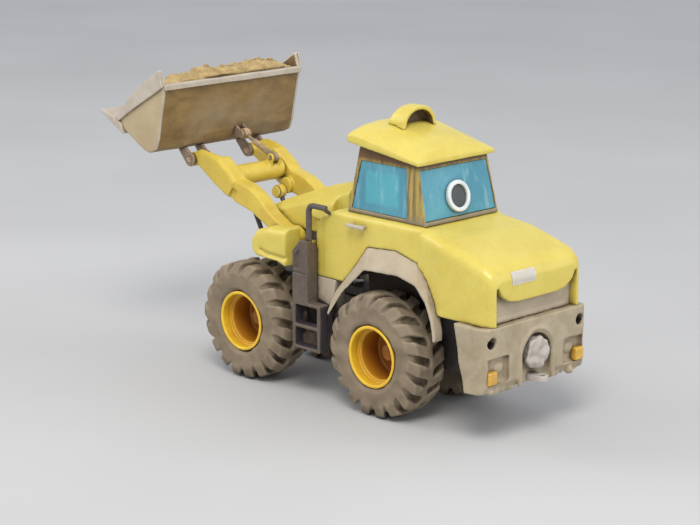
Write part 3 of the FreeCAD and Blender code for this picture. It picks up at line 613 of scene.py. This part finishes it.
# ---- body --------------------------------------------------------------------------
def past_seam(direction):
    """Draw a moulding's edge past the seam of bonnet and cab body, so that no gap shows.

    direction is 1 towards the front and -1 towards the rear. All lengths are in millimetres.
    """
    seam_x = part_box("hood")[1].x / MM
    reach = 4.0
    overlap = 1.6

    def move(x, y, z):
        near = max(0.0, 1 - abs(x - seam_x) / reach)
        return (x + direction * near * overlap, y, z)
    return move


def make_shell():
    """Bonnet and cab body, with painted shade where they face the wheels. Returns the bonnet."""
    cab_body = softened("cab_body", 0.9, 8, YELLOW, move=past_seam(-1))
    hood = softened("hood", 0.9, 10, YELLOW, move=past_seam(1))
    well_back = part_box("hood")[0].x + 4 * MM
    well_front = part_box("cab_body")[1].x - 12 * MM
    well_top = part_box("rear_fender_left")[1].z - 4 * MM
    well_half = 41 * MM

    def in_wheel_well(at, normal):
        faces_inward = normal.y * math.copysign(1, at.y) < -0.6
        return (well_back < at.x < well_front and abs(at.y) < well_half
                and (at.z < well_top or faces_inward))

    # Painted shade in the wheel wells.
    for moulding in (cab_body, hood):
        paint(moulding, WELL_SHADE, in_wheel_well)
    return hood


def make_blank_patch(bonnet):
    """Pale plain patch on the bonnet's rear flap."""
    low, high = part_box("hood")
    centre_y = 15 * MM
    centre_z = low.z + 0.55 * (high.z - low.z)
    half_y = 12 * MM
    half_z = 4.5 * MM
    proud = 0.35 * MM
    columns = 26
    rows = 9
    behind = low.x - 50 * MM
    surface = bvh_of(bonnet)
    bm = bmesh.new()
    grid = []
    for row in range(rows + 1):
        line = []
        for column in range(columns + 1):
            y = centre_y + half_y * (2 * column / columns - 1)
            z = centre_z + half_z * (2 * row / rows - 1)
            hit = surface.ray_cast(Vector((behind, y, z)), Vector((1, 0, 0)))[0]
            line.append(bm.verts.new(hit - Vector((proud, 0, 0))))
        grid.append(line)
    for lower, upper in zip(grid, grid[1:]):
        for step in range(columns):
            bm.faces.new((lower[step], lower[step + 1], upper[step + 1], upper[step]))
    bmesh.ops.solidify(bm, geom=bm.faces[:], thickness=2 * proud)
    finish_piece(from_bmesh("blank_patch", bm), "rear_frame", [], PATCH)


def make_scoop():
    """Roof scoop with brown painted shade inside its mouth."""
    scoop = softened("roof_scoop", 0.7, 8, YELLOW)
    low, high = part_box("roof_scoop")
    middle_z = (low.z + high.z) / 2
    lip = 0.5 * MM
    wall = 4 * MM

    def in_mouth(at, normal):
        end_wall = at.x > low.x + wall and normal.x < -0.6
        faces_inward = at.y * normal.y + (at.z - middle_z) * normal.z < 0
        return at.x > low.x + lip and (end_wall or at.x < high.x - wall and faces_inward)

    # Painted shade inside the mouth.
    paint(scoop, SCOOP_SHADE, in_mouth)


def make_rear_fender(side):
    """Mudguard, with painted shade where it faces the axle."""
    fender = softened("rear_fender_" + side, 0.9, 6, BEIGE)
    low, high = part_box("rim_rear_" + side)
    axle = (low + high) / 2

    def faces_axle(at, normal):
        inward = axle - at
        return inward.x * normal.x + inward.z * normal.z > 0.4 * inward.length

    # Painted shade on the faces over the axle.
    paint(fender, WELL_SHADE, faces_axle)


def make_ladder(side):
    """Boarding steps with painted shade inside their open lower half."""
    ladder = softened("ladder_" + side, 0.6, 6, STEP_GREY)
    low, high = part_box("ladder_" + side)
    skin = 1.2 * MM
    inside = max(abs(low.y), abs(high.y)) - skin
    open_top = low.z + 0.42 * (high.z - low.z)
    # Painted shade inside the open lower half.
    paint(ladder, STEP_SHADE, lambda at, normal: at.z < open_top and abs(at.y) < inside)


def make_trim():
    """Roof, nose, front mudguards, skirts, rear panel and small fittings."""
    for name in ("roof", "nose_cowl", "front_fender_left", "front_fender_right"):
        softened(name, 0.9, 10, YELLOW)
    for name in ("side_skirts", "rear_panel"):
        softened(name, 0.9, 6, BEIGE)
    softened("handrails", 0.6, 3, RAIL_GREY)
    softened("door_handles", 0.5, 3, LIGHT, 0.05)
    softened("rear_lamps", 0.5, 4, AMBER, 0.05)


def make_cab():
    """Frame, opaque panes, and the round ring and disc on the rear pane."""
    softened("cab_frame", 0.6, 3, CAB_BROWN)
    for name in ("window_rear", "window_front", "side_windows"):
        softened(name, 0.5, 3, TEAL, 0.1)
    softened("porthole_ring", 0.5, 5, WHITE, 0.05)
    softened("porthole_disc", 0.5, 3, DISC, 0.05)


# ---- counterweight -----------------------------------------------------------------
def arch_path(x, foot_z, centre_z, radius):
    """Half circle on two upright legs, in a plane of constant x."""
    steps = 24
    path = [Vector((x, -radius, foot_z))]
    for step in range(steps + 1):
        angle = math.pi * (1 - step / steps)
        path.append(Vector((x, radius * math.cos(angle), centre_z + radius * math.sin(angle))))
    path.append(Vector((x, radius, foot_z)))
    return path


def make_lumps(rear_x, bottom_z):
    """Uneven lumps along the lower edge, none of them over the tow hitch."""
    hitch_half = 5 * MM
    draw = random.Random(3)
    lumps = []
    for _ in range(16):
        y = draw.uniform(-46, 46) * MM
        if abs(y) > hitch_half:
            x = rear_x + draw.uniform(2, 7) * MM
            z = bottom_z + draw.uniform(2.2, 4.0) * MM
            half_sizes = [draw.uniform(2.0, 4.2) for _ in range(3)]
            lumps.append(blob("lump", Vector((x, y, z)), half_sizes))
    return lumps


def make_counterweight():
    """Weathered casting with a raised arch around its disc, bezels by the lamps and painted shade in its
    eyes.
    """
    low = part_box("counterweight")[0]
    disc_low, disc_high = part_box("counterweight_disc")
    lamp_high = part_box("rear_lamps")[1]
    arch_radius = (disc_high.z - disc_low.z) / 2 + 6.3 * MM
    arch_centre = (disc_low.z + disc_high.z) / 2
    bead = 1.5 * MM
    pieces = [copy_of("counterweight", "counterweight_moulding")]
    pieces.append(tube("arch", arch_path(low.x, low.z + 2 * MM, arch_centre, arch_radius), bead))
    for side in (-1, 1):
        bezel = Vector((low.x + 4 * MM, side * (lamp_high.y - 13 * MM), lamp_high.z + 1 * MM))
        pieces.append(blob("bezel", bezel, (2.4, 5.5, 4.5)))
    body = join(pieces + make_lumps(low.x, low.z))
    remesh(body, 0.8 * MM, 5)
    wobble(body, 0.8, 12.0, 4)
    finish_piece(body, "rear_frame", ["counterweight"], CASTING)
    eye_y = 45.5 * MM
    eye_z = low.z + 35.5 * MM
    eye_radius = 4.4 * MM
    paint_start = low.x + 2 * MM
    # Painted shade inside the eyes.
    paint(body, EYE_SHADE, lambda at, normal: at.x > paint_start
          and math.hypot(abs(at.y) - eye_y, at.z - eye_z) < eye_radius)


def make_counterweight_fittings():
    """Rough disc in the middle, and the tow hitch below it."""
    disc = softened("counterweight_disc", 0.6, 6, BOSS, 1.0)
    wobble(disc, 1.8, 5.0, 2)
    softened("tow_hitch", 0.5, 3, BOSS, 0.1)


# ---- running gear --------------------------------------------------------------------
def make_wheel(wheel):
    """Tyre with worn, uneven lugs on a smoother rim."""
    tyre = softened("tyre_" + wheel, 0.9, 7, RUBBER, 1.3)
    wobble(tyre, 0.9, 8.0, len(wheel))
    softened("rim_" + wheel, 0.6, 4, RIM, 0.15)


def make_chassis():
    for name in ("rear_chassis", "front_chassis"):
        plain(name, DARK, 0.6)
    for name in ("rear_axle_caps", "front_axle_caps"):
        plain(name, CAP_ORANGE)
    for name in ("rear_axle", "front_axle", "chassis_screws", "steering_pin", "arm_pins", "lift_base_pin"):
        plain(name, STEEL)


# ---- arms and bucket -----------------------------------------------------------------
def make_arms():
    for name in ("lift_arm_left", "lift_arm_right", "cross_tube"):
        softened(name, 0.7, 5, ARM_YELLOW, 0.4)


def make_lift_cylinder(side):
    """Dark barrel and rod; the rod's eye is painted like the arm that it lifts."""
    plain("lift_barrel_" + side, DARK, 0.2)
    rod = plain("lift_rod_" + side, DARK, 0.2)
    eye_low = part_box("lift_rod_" + side)[1].z - 10 * MM
    paint(rod, ARM_YELLOW, lambda at, normal: at.z > eye_low)


def make_tilt_linkage():
    for name in ("tilt_barrel", "tilt_rod"):
        plain(name, LINK_BROWN, 0.2)
    plain("bucket_pins", BRACKET_BROWN)
    softened("bucket_brackets", 0.6, 3, BRACKET_BROWN, 0.1)


def make_bucket():
    """Brown trough with tan side plates, a pale strip down their rear edges and pale edges."""
    shell = softened("bucket_shell", 0.8, 3, KHAKI, 0.5)
    half_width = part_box("bucket_shell")[1].y
    strip = 2.6 * MM
    skin = 1.0 * MM
    paint(shell, LIGHT, lambda at, normal: abs(at.y) > half_width - strip)
    paint(shell, TAN, lambda at, normal: abs(at.y) > half_width - skin and abs(normal.y) > 0.75)
    for name in ("bucket_rim", "cutting_edge", "side_cutters"):
        softened(name, 0.6, 4, LIGHT, 0.5)


def make_soil():
    """Lumpy heap with loose clods pressed into its top."""
    heap = softened("soil_load", 1.1, 6, EARTH, 2.2)
    wobble(heap, 1.1, 6.0, 5)
    surface = bvh_of(heap)
    low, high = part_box("soil_load")
    length = high.x - low.x
    above = high.z + 50 * MM
    draw = random.Random(7)
    bm = bmesh.new()
    for _ in range(90):
        x = draw.uniform(low.x + 0.2 * length, high.x - 0.25 * length)
        y = draw.uniform(0.86 * low.y, 0.8 * high.y)
        ground = surface.ray_cast(Vector((x, y, above)), Vector((0, 0, -1)))[0]
        radius = draw.uniform(1.0, 2.6) * MM
        centre = ground - Vector((0, 0, 0.3 * radius))
        clod = bmesh.ops.create_icosphere(bm, subdivisions=2, radius=radius)["verts"]
        for vertex in clod:
            vertex.co *= 1 + 0.5 * noise.noise(vertex.co * 900 + Vector((x, y, 0)) * 800)
            vertex.co += centre
    finish_piece(from_bmesh("soil_clods", bm), "bucket", [], EARTH)


bonnet = make_shell()
make_blank_patch(bonnet)
make_scoop()
make_trim()
make_cab()
make_counterweight()
make_counterweight_fittings()
for side in ("left", "right"):
    make_rear_fender(side)
    make_ladder(side)
    make_wheel("rear_" + side)
    make_wheel("front_" + side)
    make_lift_cylinder(side)
make_chassis()
make_arms()
make_tilt_linkage()
make_bucket()
make_soil()


# ---- stage, light and camera ---------------------------------------------------------
def make_floor():
    bm = bmesh.new()
    bmesh.ops.create_grid(bm, x_segments=4, y_segments=4, size=12.0)
    floor = from_bmesh("floor", bm)
    look = Shader("floor_paper", 0.9)
    cloud = look.ramp(look.noise(3.0, 2.0), 0.3, 0.7)
    look.colour(look.mix(cloud, (0.50, 0.50, 0.50), (0.54, 0.54, 0.54)))
    give(floor, look.material)


def place_and_aim(obj, place, ahead):
    """Put a light or a camera at a place, looking ahead along its own -Z."""
    bpy.context.scene.collection.objects.link(obj)
    obj.location = place
    obj.rotation_mode = "QUATERNION"
    obj.rotation_quaternion = ahead.to_track_quat("-Z", "Y")


def make_light(name, place, size, power, colour):
    """Round soft light aimed at the middle of the toy."""
    aim = Vector((0, 0, 0.11))
    data = bpy.data.lights.new(name, "AREA")
    data.shape = "DISK"
    data.size = size
    data.energy = power
    data.color = colour
    place_and_aim(bpy.data.objects.new(name, data), place, aim - Vector(place))


def make_world():
    world = bpy.data.worlds.new("studio")
    bpy.context.scene.world = world
    world.use_nodes = True
    background = world.node_tree.nodes["Background"]
    background.inputs["Color"].default_value = (0.93, 0.95, 1.0, 1.0)
    background.inputs["Strength"].default_value = 0.75


def make_camera():
    """Long lens, from behind, left and a little above."""
    yaw = math.radians(-44.45)
    pitch = math.radians(-13.56)
    data = bpy.data.cameras.new("camera")
    data.sensor_width = 36.0
    data.lens = 108.8
    data.clip_start = 0.05
    data.clip_end = 30.0
    camera = bpy.data.objects.new("camera", data)
    ahead = Vector((math.cos(pitch) * math.cos(yaw), math.cos(pitch) * math.sin(yaw), math.sin(pitch)))
    place_and_aim(camera, (-1.09195, 1.0666, 0.4593), ahead)
    bpy.context.scene.camera = camera


make_floor()
make_world()
make_light("key", (-0.95, 1.0, 1.7), size=0.9, power=25.0, colour=(1.0, 0.97, 0.92))
make_light("fill", (-1.6, -0.9, 0.9), size=1.2, power=8.0, colour=(0.92, 0.95, 1.0))
make_light("front", (1.3, 0.9, 1.2), size=1.0, power=8.0, colour=(1.0, 0.98, 0.95))
make_camera()
bpy.context.scene.view_settings.view_transform = "Standard"
